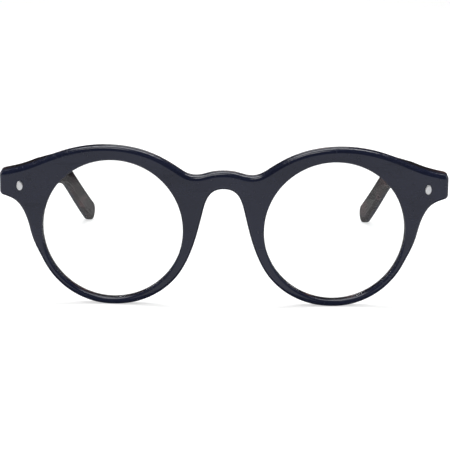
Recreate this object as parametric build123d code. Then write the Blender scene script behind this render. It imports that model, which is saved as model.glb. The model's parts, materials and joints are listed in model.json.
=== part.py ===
"""Round acetate spectacles, standing open on a table.

Row frame: the front faces -Y, the temples run back along +Y, +Z is up and x = 0 is the plane of
symmetry. Left and right are the wearer's, so the left side is at +X. The origin lies on the table,
under the middle of the whole pair. Every part is drawn about a point on the table under the front
face of the bridge, and is moved to the origin when it is written.
"""
from build123d import *
import os
from math import asin, cos, degrees, radians, sin, sqrt

# ---- driving dimensions, in millimetres and degrees -------------------------------------------
LENS_DIAMETER = 46.0           # across the lens bevel
BRIDGE_WIDTH = 24.8            # between the two lenses
TEMPLE_LENGTH = 140.0          # nominal, hinge pin to tip along the curve
FRONT_WIDTH = 142.4
WRAP_RADIUS = 600.0            # the front is rolled round a vertical cylinder
LEAN = 2.4                     # the front's top comes forward as the pair stands

# front
OPENING_R = 22.5
RIM_R = 24.6                   # outside of the rim, below and at the temple side
LENS_X = (LENS_DIAMETER + BRIDGE_WIDTH) / 2
LENS_Z = 24.4
FRONT_THICK = 4.2
OUTER_LAYER = 2.5              # thickness of the navy sheet
EDGE_FRONT = 1.45
EDGE_OPENING = 0.6
EDGE_REAR = 0.6
END_CORNER = 1.5               # corners of the end piece seen from the front
END_FLAT_Y = 8.3               # milled rear face of the end pieces
BLOCK_FOOT_X = 54.0            # where the thickening towards the end piece starts
BLOCK_TOP_X = 62.0             # where it would reach three sheets of depth
BLOCK_BOTTOM_Z = 31.0
BLOCK_CLEAR_R = 26.0           # the rim keeps its own thickness inside this radius
BLOCK_FOOT_ROUND = 2.0

# lens
LENS_THICK = 1.6
LENS_CURVE_R = 200.0
LENS_EDGE_R = OPENING_R - 0.08
BEVEL_HEIGHT = LENS_DIAMETER / 2 - LENS_EDGE_R
BEVEL_HALF = LENS_THICK / 2
GROOVE_DEPTH_Y = 2.15          # bevel apex behind the front face
GROOVE_GAP = 0.04

# nose pads
PAD_X = 36.4                   # axis of the curve that the pad follows
PAD_Z = 25.5
PAD_INNER_R = 24.2
PAD_BASE_R = 27.0
PAD_TOP_R = 26.3
PAD_DEPTH = 4.8
PAD_FROM = 162.0               # sector round that axis, seen from the front
PAD_SWEEP = 36.0
PAD_EDGE = 0.8

# end piece studs
STUD_X = 64.7
STUD_Z = 38.0
STUD_WIDTH = 2.0
STUD_HEIGHT = 3.1
STUD_SEAT = 0.3
STUD_PROUD = 0.4
STUD_DOME = 0.3                # rounding of the head's rim
STUD_SHANK_R = 0.5
STUD_SHANK = 1.6

# hinge
PIN_X = 65.7
PIN_BEHIND = 2.0               # pin axis behind the end piece's flat
HINGE_Z = 38.2
BARREL_R = 1.35
BORE_R = 0.75
BARRELS = 5
BARREL_GAP = 0.05
HINGE_HEIGHT = 5.4
SCREW_R = 0.70
SCREW_HEAD_R = 1.1
SCREW_HEAD = 0.6
SLOT_WIDTH = 0.3
SLOT_DEPTH = 0.25
LEAF_THICK = 1.0
LEAF_FRONT_WIDTH = 5.4
LEAF_TEMPLE_LENGTH = 6.8
LEAF_CORNER = 0.8
POST_R = 0.6
POST_LENGTH = 1.2
POST_HEAD_R = 0.85
POST_HEAD = 0.4
LEAF_POST_SPACING = 3.4

# temple
CONVERGE = 5.6                 # each temple runs inwards by this angle
TEMPLE_INSIDE = 1.5            # inner face from the pin axis
TIP_THICK = 3.2
MITRE_GAP = 0.15               # temple end to the end piece's flat
SLOPE = 8.5                    # the straight runs down to the rear
DROP = 30.0                    # slope of the tip
BEND_R = 43.0
TIP_INWARD = 6.0               # further inward turn of the tip by its end
FRONT_END_HALF = 4.2           # half heights of the temple along its length
WAIST_HALF = 3.5
BEND_HALF = 3.2
TIP_HALF = 3.5
INNER_LAYER = 1.5
TEMPLE_EDGE_OUT = 1.1
TEMPLE_EDGE_IN = 0.7
TEMPLE_BACK = -8.0              # the drawn strip starts here and is mitred afterwards
TEMPLE_WAIST = 50.0
CORE_FROM = 14.0
CORE_TO_TIP = 12.0
CORE_HALF = 1.2
CORE_THICK = 1.0

FAR = 120.0                    # beyond every face that a cutting tool has to pass
TOUCH = 0.01

pin_y = END_FLAT_Y + PIN_BEHIND
mitre_y = PIN_BEHIND - MITRE_GAP
temple_outside = (FRONT_WIDTH / 2 - PIN_X - mitre_y * sin(radians(CONVERGE))) / cos(radians(CONVERGE))
temple_thick = temple_outside - TEMPLE_INSIDE       # flush with the end piece outside
barrel_length = (HINGE_HEIGHT - (BARRELS - 1) * BARREL_GAP) / BARRELS
lens_turn = degrees(asin(LENS_X / WRAP_RADIUS))
stand = Rot(X=LEAN)

# The bend starts where it must for the round end of the tip to touch the table.
bend_turn = radians(DROP - SLOPE)
bend_arc = BEND_R * bend_turn
bend_fall = BEND_R * (cos(radians(SLOPE)) - cos(radians(DROP)))
tip_centre = TEMPLE_LENGTH - TIP_HALF
bend_start = (
    (tip_centre - bend_arc) * sin(radians(DROP)) + bend_fall - (HINGE_Z - TIP_HALF)
) / (sin(radians(DROP)) - sin(radians(SLOPE)))
bend_end = bend_start + bend_arc


def prism(sketch, plane=Plane.XY):
    """Sketch drawn on this plane, extruded far past both of its sides in one piece."""
    return extrude(plane.offset(-FAR) * sketch, amount=2 * FAR)


def wrap_y(x, depth=0.0):
    """Depth of the curved front at x, for a surface this far behind the front face."""
    return WRAP_RADIUS - sqrt((WRAP_RADIUS - depth) ** 2 - x**2)


def wrapped(x, z):
    """Place on the front, square to its curved face."""
    return Pos(x, wrap_y(x), z) * Rot(Z=degrees(asin(x / WRAP_RADIUS)))


def zone_in_front(depth):
    """Everything in front of the curved surface this far behind the front face."""
    side = wrap_y(FAR, depth)
    arc = ThreePointArc((-FAR, side), (0, depth), (FAR, side))
    back = Polyline((FAR, side), (FAR, -FAR), (-FAR, -FAR), (-FAR, side))
    return prism(make_face([arc, back]))


# ---- front ------------------------------------------------------------------------------------
def half_outline():
    """Right half of the front's outline as seen from the front, in x and z."""
    half = FRONT_WIDTH / 2
    start = radians(-28)
    rim_start = (LENS_X + RIM_R * cos(start), LENS_Z + RIM_R * sin(start))
    rim_middle = (LENS_X + RIM_R * cos(2 * start), LENS_Z + RIM_R * sin(2 * start))
    rim_bottom = (LENS_X, LENS_Z - RIM_R)
    bridge_top = Spline((0, 43.6), (4.2, 43.15), (8.9, 42.2), tangents=((1, 0), (1, 0)))
    brow = Spline(
        (8.9, 42.2), (14.2, 44.25), (22, 48.6), (36.8, 51.45), (52, 48.8), (62, 44.8), (half, 42.4),
        tangents=((1, 0), (1, -0.2)),
    )
    side = Line((half, 42.4), (half, 34.9))
    cheek = Spline(
        (half, 34.9), (66, 32.7), (62.2, 25.6), rim_start,
        tangents=((-1, -0.3), (sin(start), -cos(start))),
    )
    rim = ThreePointArc(rim_start, rim_middle, rim_bottom)
    nasal = Spline(
        rim_bottom, (22, 3.1), (13.9, 10.4), (9, 21.2), (7, 28.8),
        tangents=((-1, 0), (-0.24, 0.97)),
    )
    arch = Spline((7, 28.8), (4.8, 35.5), (0, 37.95), tangents=((-0.24, 0.97), (-1, 0)))
    centre = Line((0, 37.95), (0, 43.6))
    return make_face([bridge_top, brow, side, cheek, rim, nasal, arch, centre])


def front_outline():
    face = half_outline()
    corners = [v for v in face.vertices() if v.X > FRONT_WIDTH / 2 - TOUCH]
    face = fillet(corners, radius=END_CORNER)
    return face + mirror(face, about=Plane.YZ)


def lens_place(side):
    """On the lens axis, at the front face, with the axis along local Y."""
    return Pos(side * LENS_X, wrap_y(LENS_X), LENS_Z) * Rot(Z=side * lens_turn)


def end_block():
    """Thickening behind the front at the +X end piece, before its rear flat is milled."""
    deep = 3 * FRONT_THICK
    plan = Polyline(
        (BLOCK_FOOT_X, 0), (BLOCK_FOOT_X, wrap_y(BLOCK_FOOT_X, FRONT_THICK)),
        (BLOCK_TOP_X, deep), (FAR, deep), (FAR, 0), (BLOCK_FOOT_X, 0),
    )
    block = prism(make_face(plan))
    lens_side = lens_place(1) * Rot(X=90) * Cylinder(BLOCK_CLEAR_R, FAR)
    below = Pos(0, 0, BLOCK_BOTTOM_Z - FAR / 2) * Box(2 * FAR, 2 * FAR, FAR)
    return block - lens_side - below - zone_in_front(FRONT_THICK / 2)


def curved_face(shape, depth):
    """The face of the front that lies on the wrap, this far behind the front face."""
    for face in shape.faces().filter_by(GeomType.CYLINDER):
        if face.radius and abs(face.radius - WRAP_RADIUS + depth) < TOUCH:
            return face


def inner_edges(face):
    return [edge for wire in face.inner_wires() for edge in wire.edges()]


def rounded_front():
    """The front in one piece, upright, with its openings and every edge polished round."""
    outline = front_outline()
    border = (Plane.XZ * outline).face().outer_wire()
    slab = zone_in_front(FRONT_THICK) - zone_in_front(0)
    block = end_block()
    front = prism(outline, Plane.XZ) & (slab + block + mirror(block, about=Plane.YZ))
    for side in (1, -1):
        front -= lens_place(side) * Rot(X=90) * Cylinder(OPENING_R, FAR)

    def on_outline(edge):
        middle = edge @ 0.5
        return border.distance_to(Vector(middle.X, 0, middle.Z)) < TOUCH

    front = fillet(curved_face(front, 0).outer_wire().edges(), radius=EDGE_FRONT)
    front = fillet(inner_edges(curved_face(front, 0)), radius=EDGE_OPENING)
    rear = curved_face(front, FRONT_THICK).outer_wire().edges()
    front = fillet([edge for edge in rear if not on_outline(edge)], radius=BLOCK_FOOT_ROUND)
    front = fillet(inner_edges(curved_face(front, FRONT_THICK)), radius=EDGE_REAR)
    ramps = [f for f in front.faces().filter_by(GeomType.PLANE) if TOUCH < abs(f.normal_at().X) < 1 - TOUCH]
    rear = [edge for face in [curved_face(front, FRONT_THICK)] + ramps for edge in face.edges()]
    return fillet([edge for edge in rear if on_outline(edge)], radius=EDGE_REAR)


def lens_groove():
    """Ring-shaped cutter for the bevel groove, about local Y."""
    apex = LENS_DIAMETER / 2 + GROOVE_GAP
    base = OPENING_R - 2 * BEVEL_HEIGHT
    half = (apex - base) * BEVEL_HALF / BEVEL_HEIGHT
    tooth = Polyline(
        (base, GROOVE_DEPTH_Y - half), (apex, GROOVE_DEPTH_Y), (base, GROOVE_DEPTH_Y + half),
        (base, GROOVE_DEPTH_Y - half),
    )
    return revolve(make_face(tooth), axis=Axis.Y)


def front_layers(cutters):
    """The navy outer sheet and the tortoise inner sheet, with the end blocks on the inner one."""
    front = stand * rounded_front()
    front -= Pos(0, END_FLAT_Y + FAR / 2, 0) * Box(2 * FAR, FAR, 2 * FAR)
    front -= Pos(0, 0, -FAR / 2) * Box(2 * FAR, 2 * FAR, FAR)
    for cutter in cutters:
        front -= cutter
    navy = stand * zone_in_front(OUTER_LAYER)
    return front & navy, front - navy


# ---- lens, pad and stud -----------------------------------------------------------------------
def lens():
    """Clear meniscus with a bevel all round, about local Y."""
    sag = LENS_CURVE_R - sqrt(LENS_CURVE_R**2 - LENS_EDGE_R**2)
    front_rim, rear_rim = GROOVE_DEPTH_Y - BEVEL_HALF, GROOVE_DEPTH_Y + BEVEL_HALF
    vertex = front_rim - sag
    before = vertex - LENS_THICK
    blank = Polyline(
        (0, before), (LENS_EDGE_R, before), (LENS_EDGE_R, front_rim), (LENS_DIAMETER / 2, GROOVE_DEPTH_Y),
        (LENS_EDGE_R, rear_rim), (0, rear_rim), (0, before),
    )
    front = Pos(0, vertex + LENS_CURVE_R, 0) * Sphere(LENS_CURVE_R)
    rear = Pos(0, vertex + LENS_THICK + LENS_CURVE_R, 0) * Sphere(LENS_CURVE_R)
    return (revolve(make_face(blank), axis=Axis.Y) & front) - rear


def nose_pad():
    """Bonded acetate pad on the +X nasal rim, splayed towards the face."""
    back = FRONT_THICK + PAD_DEPTH
    profile = Polyline(
        (PAD_INNER_R, 0), (PAD_BASE_R, 0), (PAD_BASE_R, FRONT_THICK), (PAD_TOP_R, back),
        (PAD_INNER_R, back), (PAD_INNER_R, 0),
    )
    sector = revolve(make_face(profile), axis=Axis.Y, revolution_arc=-PAD_SWEEP)
    pad = Pos(PAD_X, wrap_y(PAD_X), PAD_Z) * Rot(Z=lens_turn) * Rot(Y=-PAD_FROM) * sector
    pad -= zone_in_front(FRONT_THICK)
    bonded = curved_face(pad, FRONT_THICK).edges()
    return stand * fillet([edge for edge in pad.edges() if edge not in bonded], radius=PAD_EDGE)


def stud():
    """Oval head let into the end piece, with a plain shank behind it, about local Y."""
    oval = Ellipse(STUD_WIDTH / 2, STUD_HEIGHT / 2)
    head = extrude(Plane.XZ.offset(-STUD_SEAT) * oval, amount=STUD_SEAT + STUD_PROUD)
    head = fillet(head.faces().sort_by(Axis.Y)[0].edges(), radius=STUD_DOME)
    shank = Rot(X=90) * Cylinder(STUD_SHANK_R, STUD_SHANK)
    return head + Pos(0, STUD_SEAT + STUD_SHANK / 2, 0) * shank


# ---- hinge, about its pin axis at mid height ---------------------------------------------------
def barrel(slot, arm, bore):
    """One barrel of the hinge with the arm that joins it to its leaf."""
    bottom = slot * (barrel_length + BARREL_GAP) - HINGE_HEIGHT / 2
    plan = Circle(BARREL_R) + arm - Circle(bore)
    return Pos(0, 0, bottom) * extrude(plan, amount=barrel_length)


def posts():
    """Two headed posts along -Z that hold a leaf in the acetate."""
    neck = Pos(0, 0, -POST_LENGTH / 2) * Cylinder(POST_R, POST_LENGTH)
    head = Pos(0, 0, -POST_LENGTH - POST_HEAD / 2) * Cylinder(POST_HEAD_R, POST_HEAD)
    return [Pos(0, side * LEAF_POST_SPACING / 2, 0) * (neck + head) for side in (1, -1)]


def plate(width, height, thick):
    """Leaf plate whose back lies on local XY, with rounded corners."""
    return extrude(RectangleRounded(width, height, LEAF_CORNER), amount=thick)


def front_leaf_plate():
    place = Plane((0, -PIN_BEHIND - LEAF_THICK, 0), x_dir=(1, 0, 0), z_dir=(0, 1, 0))
    body = plate(LEAF_FRONT_WIDTH, HINGE_HEIGHT, LEAF_THICK)
    return place * body + [place * post for post in posts()]


def front_leaf():
    arm = Pos(0, -PIN_BEHIND / 2) * Rectangle(2 * BARREL_R, PIN_BEHIND)
    leaf = front_leaf_plate()
    for slot in range(0, BARRELS, 2):
        leaf += barrel(slot, arm, BORE_R if slot else SCREW_R)
    return leaf


def temple_leaf_plate():
    middle = LEAF_TEMPLE_LENGTH / 2 - BARREL_R
    place = Plane((TEMPLE_INSIDE + LEAF_THICK, middle, 0), x_dir=(0, 0, 1), z_dir=(-1, 0, 0))
    body = plate(HINGE_HEIGHT, LEAF_TEMPLE_LENGTH, LEAF_THICK)
    return place * body + [place * post for post in posts()]


def temple_leaf():
    arm = Pos(TEMPLE_INSIDE / 2, 0) * Rectangle(TEMPLE_INSIDE, 2 * BARREL_R)
    leaf = temple_leaf_plate()
    for slot in range(1, BARRELS, 2):
        leaf += barrel(slot, arm, BORE_R)
    return leaf


def hinge_screw():
    shank = Cylinder(SCREW_R, HINGE_HEIGHT)
    head = Pos(0, 0, (HINGE_HEIGHT + SCREW_HEAD) / 2) * Cylinder(SCREW_HEAD_R, SCREW_HEAD)
    slot_z = HINGE_HEIGHT / 2 + SCREW_HEAD
    return shank + head - Pos(0, 0, slot_z) * Box(FAR, SLOT_WIDTH, 2 * SLOT_DEPTH)


# ---- temple, about the pin axis at mid height, straight along local Y ---------------------------
def strip_side(stations, left):
    """Smooth line through points set off sideways from a centreline of (u, v, heading, half)."""
    sign = 1 if left else -1
    points = []
    for u, v, heading, half in stations:
        angle = radians(heading)
        points.append((u - sign * half * sin(angle), v + sign * half * cos(angle)))
    ends = [(cos(radians(s[2])), sin(radians(s[2]))) for s in (stations[0], stations[-1])]
    return Spline(*points, tangents=ends)


def side_station(s, half):
    """Point of the centreline at distance s from the pin, seen from the side in y and z."""
    slope = radians(SLOPE)
    if s <= bend_start:
        return (s * cos(slope), -s * sin(slope), -SLOPE, half)
    turned = min((s - bend_start) / BEND_R, bend_turn)
    angle = slope + turned
    y = bend_start * cos(slope) + BEND_R * (sin(angle) - sin(slope))
    z = -bend_start * sin(slope) - BEND_R * (cos(slope) - cos(angle))
    rest = max(s - bend_end, 0)
    return (y + rest * cos(angle), z - rest * sin(angle), -degrees(angle), half)


def side_strip(widths, rounded):
    """Solid band with the temple's side outline, widths being (distance, half height)."""
    stations = [side_station(*pair) for pair in widths]
    top = strip_side(stations, True)
    bottom = strip_side(stations, False)
    y, z, heading, half = stations[-1]
    reach = half if rounded else TOUCH
    nose = (y + reach * cos(radians(heading)), z + reach * sin(radians(heading)))
    end = ThreePointArc(top @ 1, nose, bottom @ 1) if rounded else Line(top @ 1, bottom @ 1)
    outline = make_face([top, end, bottom, Line(bottom @ 0, top @ 0)])
    return prism(outline, Plane.YZ)


def plan_station(y, half):
    """Point of the centreline at this y, seen from above: straight, then curving inwards."""
    centre = TEMPLE_INSIDE + temple_thick / 2
    straight = bend_start * cos(radians(SLOPE))
    reach = side_station(tip_centre, 0)[0] - straight
    radius = reach / sin(radians(TIP_INWARD))
    turned = asin(max(y - straight, 0) / radius)
    return (centre - radius * (1 - cos(turned)), y, 90 + degrees(turned), half)


def plan_stations(inset=0.0):
    """Centreline stations whose left side lies this far outside the temple's inner face."""
    half, tip_half = temple_thick / 2, TIP_THICK / 2
    middle = (half + tip_half) / 2
    tip = side_station(tip_centre, 0)[0]
    widths = [
        (TEMPLE_BACK, half), (LEAF_TEMPLE_LENGTH, half), (TEMPLE_WAIST, middle), (bend_start, tip_half),
        ((bend_start + tip) / 2, tip_half), (tip, tip_half), (tip + 2 * TIP_HALF, tip_half),
    ]
    return [plan_station(y, width - inset) for y, width in widths]


def inner_zone(inset):
    """Everything on the inner side of the surface this far outside the temple's inner face."""
    curve = strip_side(plan_stations(inset), True)
    start, end = curve @ 0, curve @ 1
    back = Polyline(end, (end.X, FAR + end.Y), (-FAR, FAR + end.Y), (-FAR, start.Y), start)
    return prism(make_face([curve, back]))


def temple_blank():
    """The whole temple in one piece with every long edge polished round."""
    stations = plan_stations()
    inner, outer = strip_side(stations, True), strip_side(stations, False)
    plan = make_face([inner, outer, Line(inner @ 0, outer @ 0), Line(inner @ 1, outer @ 1)])
    temple = side_strip([
        (TEMPLE_BACK, FRONT_END_HALF), (LEAF_TEMPLE_LENGTH, FRONT_END_HALF), (TEMPLE_WAIST, WAIST_HALF),
        (bend_start, BEND_HALF), ((bend_start + bend_end) / 2, BEND_HALF), (bend_end, BEND_HALF),
        (tip_centre, TIP_HALF),
    ], rounded=True) & prism(plan)

    def long_edges(place):
        broad = temple.faces().sort_by(SortBy.AREA)[-2:].sort_by(Axis.X)
        return [edge for edge in broad[place].edges() if (edge @ 0.5).Y > TEMPLE_BACK + 1]

    temple = fillet(long_edges(1), radius=TEMPLE_EDGE_OUT)
    return fillet(long_edges(0), radius=TEMPLE_EDGE_IN)


def temple_core():
    """Flat strip of metal against the inside of the outer layer."""
    stop = tip_centre + TIP_HALF - CORE_TO_TIP
    widths = [(CORE_FROM, CORE_HALF), (TEMPLE_WAIST, CORE_HALF), (bend_start, CORE_HALF)]
    widths += [((bend_start + bend_end) / 2, CORE_HALF), (bend_end, CORE_HALF), (stop, CORE_HALF)]
    strip = side_strip(widths, rounded=False)
    return (strip & inner_zone(INNER_LAYER + CORE_THICK)) - inner_zone(INNER_LAYER)


def temple_layers(place, cutters):
    """Outer and inner sheets of the temple in its place, mitred to the end piece."""
    temple = place * temple_blank()
    front_of = END_FLAT_Y + MITRE_GAP
    temple -= Pos(0, front_of - FAR / 2, HINGE_Z) * Box(3 * FAR, FAR, FAR)
    for cutter in cutters:
        temple -= cutter
    tortoise = place * inner_zone(INNER_LAYER)
    return temple - tortoise, temple & tortoise


# ---- the pair -----------------------------------------------------------------------------------
def left_side():
    """Every piece of the wearer's left side except the front's own layers."""
    pin = Pos(PIN_X, pin_y, HINGE_Z)
    temple = pin * Rot(Z=CONVERGE)
    pieces = {
        "lens": stand * lens_place(1) * lens(),
        "nose_pad": nose_pad(),
        "end_piece_stud": stand * wrapped(STUD_X, STUD_Z) * stud(),
        "hinge_front_leaf": pin * front_leaf(),
        "hinge_screw": pin * hinge_screw(),
        "hinge_temple_leaf": temple * temple_leaf(),
        "temple_core": temple * temple_core(),
    }
    cutters = [temple * temple_leaf_plate(), pieces["temple_core"]]
    outer, inner = temple_layers(temple, cutters)
    return pieces | {"temple_outer_layer": outer, "temple_inner_layer": inner}


def both(piece):
    return [piece, mirror(piece, about=Plane.YZ)]


def spectacles():
    left = left_side()
    leaf_seat = Pos(PIN_X, pin_y, HINGE_Z) * front_leaf_plate()
    groove = stand * lens_place(1) * lens_groove()
    cutters = both(left["end_piece_stud"]) + both(leaf_seat) + both(groove)
    outer, inner = front_layers(cutters)
    nodes = {"front_outer_layer": outer, "front_inner_layer": inner}
    for name, piece in left.items():
        nodes[name + "_left"], nodes[name + "_right"] = both(piece)
    return nodes


nodes = spectacles()
boxes = [piece.bounding_box() for piece in nodes.values()]
origin_y = (min(box.min.Y for box in boxes) + max(box.max.Y for box in boxes)) / 2
os.makedirs("parts", exist_ok=True)
for name, piece in nodes.items():
    export_step(Pos(0, -origin_y, 0) * piece, f"parts/{name}.step")
print("origin behind the bridge", round(origin_y, 3))
print("hinge pin at", PIN_X, round(pin_y - origin_y, 3))
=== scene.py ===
"""Round acetate spectacles on a white table: materials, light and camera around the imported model."""
import json
from math import cos, pi, radians, sin

import bpy
from mathutils import Matrix, Vector


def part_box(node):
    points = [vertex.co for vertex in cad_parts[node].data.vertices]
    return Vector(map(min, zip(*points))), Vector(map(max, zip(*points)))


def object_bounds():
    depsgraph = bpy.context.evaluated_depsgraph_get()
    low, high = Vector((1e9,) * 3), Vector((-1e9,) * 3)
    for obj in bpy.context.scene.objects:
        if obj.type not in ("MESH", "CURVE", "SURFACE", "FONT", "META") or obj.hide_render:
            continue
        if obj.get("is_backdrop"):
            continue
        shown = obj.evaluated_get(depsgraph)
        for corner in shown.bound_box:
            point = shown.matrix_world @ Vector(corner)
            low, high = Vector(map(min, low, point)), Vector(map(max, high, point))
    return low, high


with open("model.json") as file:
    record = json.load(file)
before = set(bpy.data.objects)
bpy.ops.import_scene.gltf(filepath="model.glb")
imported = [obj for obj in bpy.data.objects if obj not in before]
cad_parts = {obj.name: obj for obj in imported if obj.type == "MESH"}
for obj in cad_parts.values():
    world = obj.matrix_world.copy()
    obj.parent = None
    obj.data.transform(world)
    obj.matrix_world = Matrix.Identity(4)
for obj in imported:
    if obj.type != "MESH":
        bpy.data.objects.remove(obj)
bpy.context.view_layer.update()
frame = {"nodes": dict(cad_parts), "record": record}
scene = bpy.context.scene


# ---- node helpers -------------------------------------------------------------------------------
NOISE_MIDDLE = (0.3, 0.7)      # where nearly all of a noise's values lie


class Nodes:
    """A material's node tree, with its Principled shader at hand."""

    def __init__(self, name):
        self.material = bpy.data.materials.new(name)
        self.material.use_nodes = True
        self.tree = self.material.node_tree
        self.shader = self.tree.nodes["Principled BSDF"]

    def set(self, **values):
        for key, value in values.items():
            self.shader.inputs[key.replace("_", " ")].default_value = value

    def add(self, kind, inputs=(), **settings):
        node = self.tree.nodes.new("ShaderNode" + kind)
        for key, value in settings.items():
            setattr(node, key, value)
        for key, value in dict(inputs).items():
            if isinstance(value, bpy.types.NodeSocket):
                self.tree.links.new(value, node.inputs[key])
            else:
                node.inputs[key].default_value = value
        return node

    def link(self, output, socket):
        self.tree.links.new(output, self.shader.inputs[socket])

    def object_point(self, scale):
        place = self.add("TexCoord").outputs["Object"]
        return self.add("Mapping", {"Vector": place, "Scale": scale}).outputs["Vector"]

    def noise(self, scale, detail=4.0, stretch=(1, 1, 1), rough=0.5, warp=0.0):
        inputs = {
            "Vector": self.object_point(stretch), "Scale": scale, "Detail": detail,
            "Roughness": rough, "Distortion": warp,
        }
        return self.add("TexNoise", inputs).outputs["Fac"]

    def ramp(self, value, stops):
        node = self.add("ValToRGB", {"Fac": value})
        points = node.color_ramp.elements
        while len(points) < len(stops):
            points.new(1.0)
        for point, (place, colour) in zip(points, stops):
            point.position = place
            point.color = colour if len(colour) == 4 else (*colour, 1.0)
        return node.outputs["Color"]

    def spread(self, value, low, high):
        """The middle of a noise, stretched over a range."""
        bottom, top = NOISE_MIDDLE
        inputs = {"Value": value, "From Min": bottom, "From Max": top, "To Min": low, "To Max": high}
        return self.add("MapRange", inputs).outputs["Result"]

    def mix(self, factor, a, b):
        return self.add("MixRGB", {"Fac": factor, "Color1": a, "Color2": b}).outputs["Color"]

    def bump(self, height, distance, strength, normal=None):
        inputs = {"Height": height, "Distance": distance, "Strength": strength}
        if normal:
            inputs["Normal"] = normal
        return self.add("Bump", inputs).outputs["Normal"]


def grey(value):
    return (value, value, value, 1.0)


# ---- materials ----------------------------------------------------------------------------------
ACETATE_IOR = 1.47
SCRATCH_SCALE = 700
SCRATCH_STRETCHES = ((0.05, 1, 1), (1, 0.05, 1))     # across the front, and along the temples
SCRATCH_CUT = (0.66, 0.72)     # only a noise's peaks make a scratch
SCRATCH_DEPTH = 0.000003
SCRATCH_BUMP = 0.20
SCRATCH_ROUGHNESS = 0.30
HAZE_ROUGHNESS = 0.21          # the dullest of the polish between the scratches


def hairlines(m, shift):
    """Fine wiping scratches in two directions; the shift in scale gives each sheet its own."""
    low, high = SCRATCH_CUT
    sets = []
    for stretch in SCRATCH_STRETCHES:
        lines = m.noise(SCRATCH_SCALE + shift, detail=1, stretch=stretch)
        sets.append(m.add("MapRange", {"Value": lines, "From Min": low, "From Max": high}).outputs["Result"])
    return m.add("Math", {0: sets[0], 1: sets[1]}, operation="MAXIMUM").outputs["Value"]


def buffed(m, shift, haze_scale, polish, ripple=None):
    """The surface of handled acetate: patches of haze, with scratches over them."""
    scratches = hairlines(m, shift)
    haze = m.spread(m.noise(haze_scale, detail=3), polish, HAZE_ROUGHNESS)
    m.link(m.mix(scratches, haze, grey(SCRATCH_ROUGHNESS)), "Roughness")
    m.link(m.bump(scratches, SCRATCH_DEPTH, SCRATCH_BUMP, ripple), "Normal")
    m.set(IOR=ACETATE_IOR)


def navy_acetate():
    """Near-black navy sheet with faint cloudy layers, buffed to a soft gloss."""
    m = Nodes("navy_acetate")
    clouds = m.noise(55, detail=5, stretch=(0.6, 0.6, 1.4), warp=0.6)
    colour = m.ramp(clouds, [
        (0.25, (0.0050, 0.0068, 0.0180)), (0.5, (0.0072, 0.0092, 0.0228)), (0.75, (0.0100, 0.0122, 0.0275)),
    ])
    m.link(colour, "Base Color")
    ripple = m.bump(m.noise(160, detail=1), 0.00003, 0.30)
    buffed(m, shift=3, haze_scale=90, polish=0.15, ripple=ripple)
    return m.material


def tortoise_acetate():
    """Dark brown-red acetate with amber mottling."""
    m = Nodes("tortoise_acetate")
    blotches = m.noise(75, detail=4, stretch=(0.8, 0.5, 1.2), rough=0.55, warp=1.6)
    colour = m.ramp(blotches, [
        (0.32, (0.004, 0.0025, 0.004)), (0.50, (0.009, 0.0055, 0.008)),
        (0.60, (0.030, 0.016, 0.020)), (0.74, (0.100, 0.052, 0.044)),
    ])
    m.link(colour, "Base Color")
    buffed(m, shift=11, haze_scale=110, polish=0.14)
    return m.material


def pad_acetate():
    """A lighter brown acetate, clouded more finely and tumbled to an even gloss."""
    m = Nodes("pad_acetate")
    cloud = m.noise(140, detail=4, warp=1.0)
    m.link(m.ramp(cloud, [(0.3, (0.022, 0.012, 0.012)), (0.7, (0.075, 0.042, 0.034))]), "Base Color")
    m.link(m.spread(m.noise(200, detail=2), 0.16, 0.24), "Roughness")
    m.set(IOR=ACETATE_IOR)
    return m.material


LENS_STEEPNESS = 5.0           # how late the reflection grows towards a glancing view
LENS_MIRROR = (0.035, 0.9)     # reflected straight on, and how much more when glancing


def lens_plastic():
    """Clear lens that only shows its reflections, which grow towards a glancing view."""
    m = Nodes("clear_lens")
    tree = m.tree
    tree.nodes.remove(m.shader)
    straight, more = LENS_MIRROR
    facing = m.add("LayerWeight", {"Blend": 0.5}).outputs["Facing"]
    steep = m.add("Math", {0: facing, 1: LENS_STEEPNESS}, operation="POWER").outputs["Value"]
    mirror = m.add("Math", {0: steep, 1: more, 2: straight}, operation="MULTIPLY_ADD").outputs["Value"]
    smear = m.spread(m.noise(45, detail=3, stretch=(1, 1, 0.4)), 0.01, 0.04)
    clear = m.add("BsdfTransparent", {"Color": (0.985, 0.99, 0.99, 1.0)}).outputs["BSDF"]
    gloss = m.add("BsdfGlossy", {"Color": grey(1.0), "Roughness": smear}).outputs["BSDF"]
    both = m.add("MixShader", {0: mirror, 1: clear, 2: gloss}).outputs["Shader"]
    tree.links.new(both, tree.nodes["Material Output"].inputs["Surface"])
    return m.material


def hinge_metal():
    """Nickel silver, brushed along the temple."""
    m = Nodes("brushed_nickel_silver")
    lines = m.noise(900, detail=3, stretch=(1, 0.04, 1))
    m.link(m.ramp(lines, [(0.3, (0.42, 0.41, 0.39)), (0.7, (0.58, 0.57, 0.54))]), "Base Color")
    m.link(m.spread(lines, 0.26, 0.42), "Roughness")
    m.link(m.bump(lines, 0.00001, 0.3), "Normal")
    m.set(Metallic=1.0)
    return m.material


def stud_metal():
    """Satin silver with faint wear."""
    m = Nodes("satin_silver")
    wear = m.noise(700, detail=3, rough=0.6)
    m.link(m.ramp(wear, [(0.3, (0.88, 0.89, 0.91)), (0.7, (0.95, 0.96, 0.97))]), "Base Color")
    m.link(m.spread(wear, 0.34, 0.44), "Roughness")
    m.set(Metallic=1.0)
    return m.material


def dress():
    """Give each node the material of its slot in the record."""
    finish = {
        "navy_acetate": navy_acetate(), "tortoise_acetate": tortoise_acetate(),
        "nose_pad": pad_acetate(), "lens": lens_plastic(), "stud": stud_metal(),
        "hinge_metal": hinge_metal(),
    }
    for row in frame["record"]["subparts"]:
        mesh = frame["nodes"][row["node"]].data
        mesh.materials.clear()
        mesh.materials.append(finish[row["material_slot"]])
    for side in ("left", "right"):
        frame["nodes"]["lens_" + side].visible_shadow = False


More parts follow.
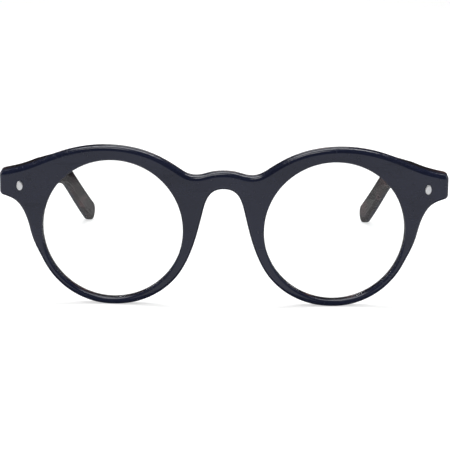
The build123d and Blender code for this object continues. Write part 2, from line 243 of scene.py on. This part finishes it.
# ---- stage and light ----------------------------------------------------------------------------
COVE_RINGS = (0.02, 0.5)       # radii of the flat floor's inner rings
COVE_RADIUS = 2.6
COVE_TURN = 0.9                # radius of the curve from floor to wall
COVE_HEIGHT = 3.2
COVE_STEPS = 12                # along the curve
COVE_SIDES = 96
COVE_WHITE = (0.48, 0.52)      # the fabric's own shade, from its darkest to its lightest
COVE_GLOW = 0.55

# The cards' sizes are half sides: across, and then front to back or upward.
CARD_LIFT = 0.0005             # of a card that lies on the floor
FRONT_CARD = (0.30, 0.15)
FRONT_CARD_GAP = 0.002         # from the front's face to its near edge
BACK_CARD = (0.17, 0.40)
BACK_CARD_Y = 1.5
BACK_CARD_MIDDLE = 0.45        # above the floor
SIDE_CARD = (0.24, 0.45)
SIDE_CARD_X = 0.33
INNER_CARD = (0.048, 0.055)    # between the temples
TIP_CARD = (0.09, 0.018)
TIP_CARD_GAP = 0.020           # from the temples' ends to its middle
CARD_GLOW = {"front": 0.80, "back": 0.45, "side": 0.55, "inner": 0.45, "tip": 0.09}
WORLD_GLOW = 0.025


def mesh_object(name, vertices, faces, material, smooth=False):
    mesh = bpy.data.meshes.new(name)
    mesh.from_pydata(vertices, [], faces)
    mesh.materials.append(material)
    for face in mesh.polygons:
        face.use_smooth = smooth
    made = bpy.data.objects.new(name, mesh)
    scene.collection.objects.link(made)
    made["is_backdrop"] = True
    return made


def cove_profile():
    """Radius and height from the floor's middle to the top of the wall."""
    flat = COVE_RADIUS - COVE_TURN
    profile = [(radius, 0.0) for radius in (*COVE_RINGS, flat)]
    for step in range(1, COVE_STEPS + 1):
        turn = step * pi / 2 / COVE_STEPS
        profile.append((flat + COVE_TURN * sin(turn), COVE_TURN * (1 - cos(turn))))
    return profile + [(COVE_RADIUS, COVE_HEIGHT)]


def cove(floor):
    """Round glowing tent of white fabric: a flat floor that curves up into its wall."""
    profile = cove_profile()
    angles = [2 * pi * i / COVE_SIDES for i in range(COVE_SIDES)]
    vertices = [(r * cos(a), r * sin(a), floor + z) for r, z in profile for a in angles]
    faces = [tuple(range(COVE_SIDES))]
    for ring in range(len(profile) - 1):
        low, high = ring * COVE_SIDES, (ring + 1) * COVE_SIDES
        for i in range(COVE_SIDES):
            j = (i + 1) % COVE_SIDES
            faces.append((low + i, high + i, high + j, low + j))
    m = Nodes("white_fabric")
    dark, light = map(grey, COVE_WHITE)
    m.link(m.ramp(m.noise(6, detail=2), [(0.3, dark), (0.7, light)]), "Base Color")
    m.set(Roughness=0.8, Emission_Color=grey(1.0), Emission_Strength=COVE_GLOW)
    tent = mesh_object("cove", vertices, faces, m.material, smooth=True)
    tent.visible_glossy = False


def card(name, centre, across, upward, glow):
    """Glowing card that only shows in reflections; across and upward are its half sides."""
    corners = [centre + i * across + j * upward for i, j in ((-1, -1), (1, -1), (1, 1), (-1, 1))]
    m = Nodes(name)
    m.set(Base_Color=grey(0.0), Emission_Color=grey(1.0), Emission_Strength=glow)
    panel = mesh_object(name, corners, [(0, 1, 2, 3)], m.material)
    panel.visible_camera = panel.visible_diffuse = panel.visible_shadow = False
    panel.visible_transmission = False


def floor_card(place, x, y, floor, size):
    """Card that lies just off the floor."""
    across, deep = Vector((size[0], 0, 0)), Vector((0, size[1], 0))
    card(place + "_card", Vector((x, y, floor + CARD_LIFT)), across, deep, CARD_GLOW[place])


def cards(floor):
    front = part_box("front_outer_layer")[0].y
    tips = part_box("temple_inner_layer_left")[1].y
    floor_card("front", 0, front - FRONT_CARD_GAP - FRONT_CARD[1], floor, FRONT_CARD)
    centre = Vector((0, BACK_CARD_Y, floor + BACK_CARD_MIDDLE))
    across, upward = Vector((BACK_CARD[0], 0, 0)), Vector((0, 0, BACK_CARD[1]))
    card("back_card", centre, across, upward, CARD_GLOW["back"])
    for side in (-1, 1):
        floor_card("side", side * SIDE_CARD_X, 0, floor, SIDE_CARD)
    floor_card("inner", 0, 0, floor, INNER_CARD)
    floor_card("tip", 0, tips + TIP_CARD_GAP, floor, TIP_CARD)


def softbox(name, target, direction, distance, size, power):
    """Rectangular light aimed at the target from a compass angle and a height angle."""
    azimuth, height = map(radians, direction)
    out = Vector((sin(azimuth) * cos(height), -cos(azimuth) * cos(height), sin(height)))
    light = bpy.data.lights.new(name, "AREA")
    light.shape = "RECTANGLE"
    light.size, light.size_y = size
    light.energy = power
    lamp = bpy.data.objects.new(name, light)
    lamp.location = target + out * distance
    lamp.rotation_mode = "QUATERNION"
    lamp.rotation_quaternion = out.to_track_quat("Z", "Y")
    scene.collection.objects.link(lamp)


def surroundings(strength):
    """Dim grey beyond the cards, for what their reflections leave."""
    world = bpy.data.worlds.new("studio")
    world.use_nodes = True
    world.node_tree.nodes["Background"].inputs["Color"].default_value = grey(1.0)
    world.node_tree.nodes["Background"].inputs["Strength"].default_value = strength
    scene.world = world


def studio(aim, floor):
    cove(floor)
    cards(floor)
    softbox("overhead", aim, direction=(0, 112), distance=1.1, size=(1.0, 0.5), power=10)
    softbox("front_fill", aim, direction=(-25, 62), distance=1.5, size=(0.7, 0.4), power=5)
    softbox("left_wall", aim, direction=(-95, 25), distance=1.2, size=(0.5, 1.0), power=4)
    softbox("right_wall", aim, direction=(95, 25), distance=1.2, size=(0.5, 1.0), power=4)
    surroundings(WORLD_GLOW)


# ---- camera -------------------------------------------------------------------------------------
CAMERA_DISTANCE = 0.600
CAMERA_HEIGHT = 11.4           # degrees above the horizon
CAMERA_YAW = 0.52              # degrees towards +X
CAMERA_ROLL = -0.51            # degrees
CAMERA_LENS = 151.8            # on a 36 mm sensor
CAMERA_SEES = (0.01, 20)       # nearest and furthest
AIM_RIGHT = 0.00050            # from the middle of the front
AIM_UP = 0.0009
AIM_IN = 0.00066


def camera():
    """Set the camera at the front, and return the point that it aims at."""
    low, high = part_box("front_outer_layer")
    aim = Vector((AIM_RIGHT, low.y + AIM_IN, (low.z + high.z) / 2 + AIM_UP))
    yaw, height, roll = map(radians, (CAMERA_YAW, CAMERA_HEIGHT, CAMERA_ROLL))
    back = Vector((sin(yaw) * cos(height), -cos(yaw) * cos(height), sin(height)))
    right = Vector((cos(yaw), sin(yaw), 0))
    up = back.cross(right)
    turned = (right * cos(roll) - up * sin(roll), right * sin(roll) + up * cos(roll), back)
    data = bpy.data.cameras.new("camera")
    data.lens = CAMERA_LENS
    data.clip_start, data.clip_end = CAMERA_SEES
    holder = bpy.data.objects.new("camera", data)
    place = Matrix.Translation(aim + back * CAMERA_DISTANCE)
    holder.matrix_world = place @ Matrix(turned).transposed().to_4x4()
    scene.collection.objects.link(holder)
    scene.camera = holder
    return aim


scene.view_settings.view_transform = "Standard"
dress()
studio(camera(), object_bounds()[0].z)
